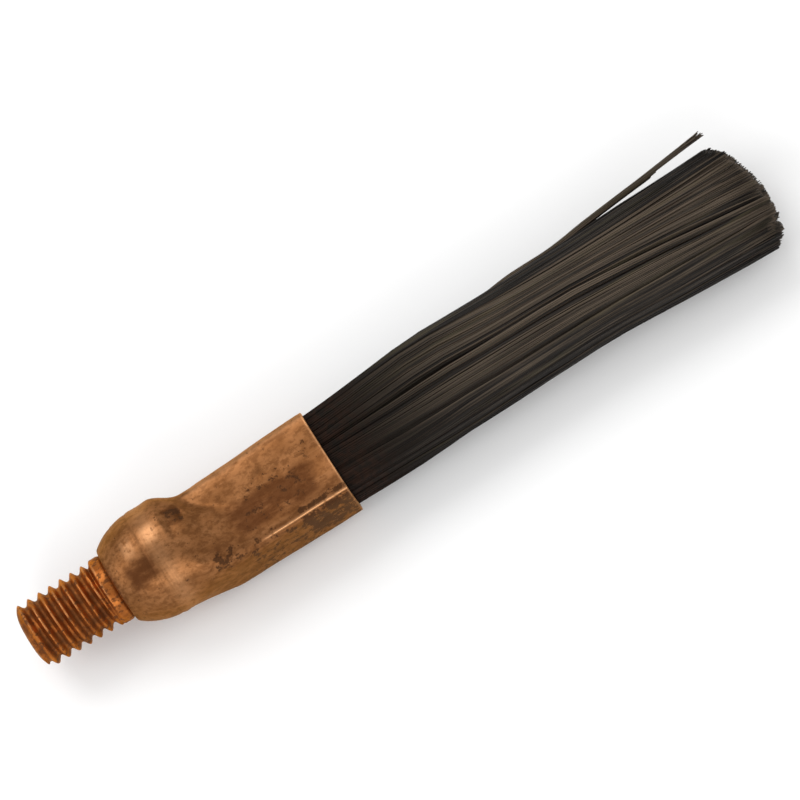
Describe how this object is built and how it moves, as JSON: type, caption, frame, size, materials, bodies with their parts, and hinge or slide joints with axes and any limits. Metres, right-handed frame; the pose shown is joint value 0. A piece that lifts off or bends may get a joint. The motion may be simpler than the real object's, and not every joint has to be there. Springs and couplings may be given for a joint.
{
  "type": "carbon fibre brush head",
  "caption": "Brush head for a cleaning wand: a tuft of dark carbon-fibre tows crimped in a flattened copper ferrule, with a male threaded copper stud.",
  "frame": {"origin": "on the threaded stud's axis, in the plane where the stud enters the ferrule's dome", "axes": "+X along the brush from the stud to the fibre tips; +Z is the normal of the crimped barrel's wide flat; +Y is the barrel's width"},
  "size_m": [0.0696, 0.0113, 0.0094],
  "materials": {
    "stud_copper": "satin",
    "ferrule_copper": "satin",
    "carbon_fibre": "satin"
  },
  "bodies": {
    "root": {"threaded_stud": "stud_copper", "ferrule": "ferrule_copper", "tow_01_held": "carbon_fibre", "tow_02_held": "carbon_fibre", "tow_03_held": "carbon_fibre", "tow_04_held": "carbon_fibre", "tow_05_held": "carbon_fibre", "tow_06_held": "carbon_fibre", "tow_07_held": "carbon_fibre", "tow_08_held": "carbon_fibre", "tow_09_held": "carbon_fibre", "tow_10_held": "carbon_fibre", "tow_11_held": "carbon_fibre", "tow_12_held": "carbon_fibre", "tow_13_held": "carbon_fibre", "tow_14_held": "carbon_fibre", "tow_15_held": "carbon_fibre", "tow_16_held": "carbon_fibre"},
    "tuft": {"tow_01": "carbon_fibre", "tow_02": "carbon_fibre", "tow_03": "carbon_fibre", "tow_04": "carbon_fibre", "tow_05": "carbon_fibre", "tow_06": "carbon_fibre", "tow_07": "carbon_fibre", "tow_08": "carbon_fibre", "tow_09": "carbon_fibre", "tow_10": "carbon_fibre", "tow_11": "carbon_fibre", "tow_12": "carbon_fibre", "tow_13": "carbon_fibre", "tow_14": "carbon_fibre", "tow_15": "carbon_fibre", "tow_16": "carbon_fibre", "stray_strand": "carbon_fibre", "split_strand": "carbon_fibre"}
  },
  "joints": [
    {"name": "tuft_bend", "type": "hinge", "parent": "root", "child": "tuft", "pos_m": [0.0201, -0.0003, -0.0004], "axis": [0, 1, 0], "range_deg": [-20, 20], "stiffness_Nm_per_rad": 0.05}
  ]
}
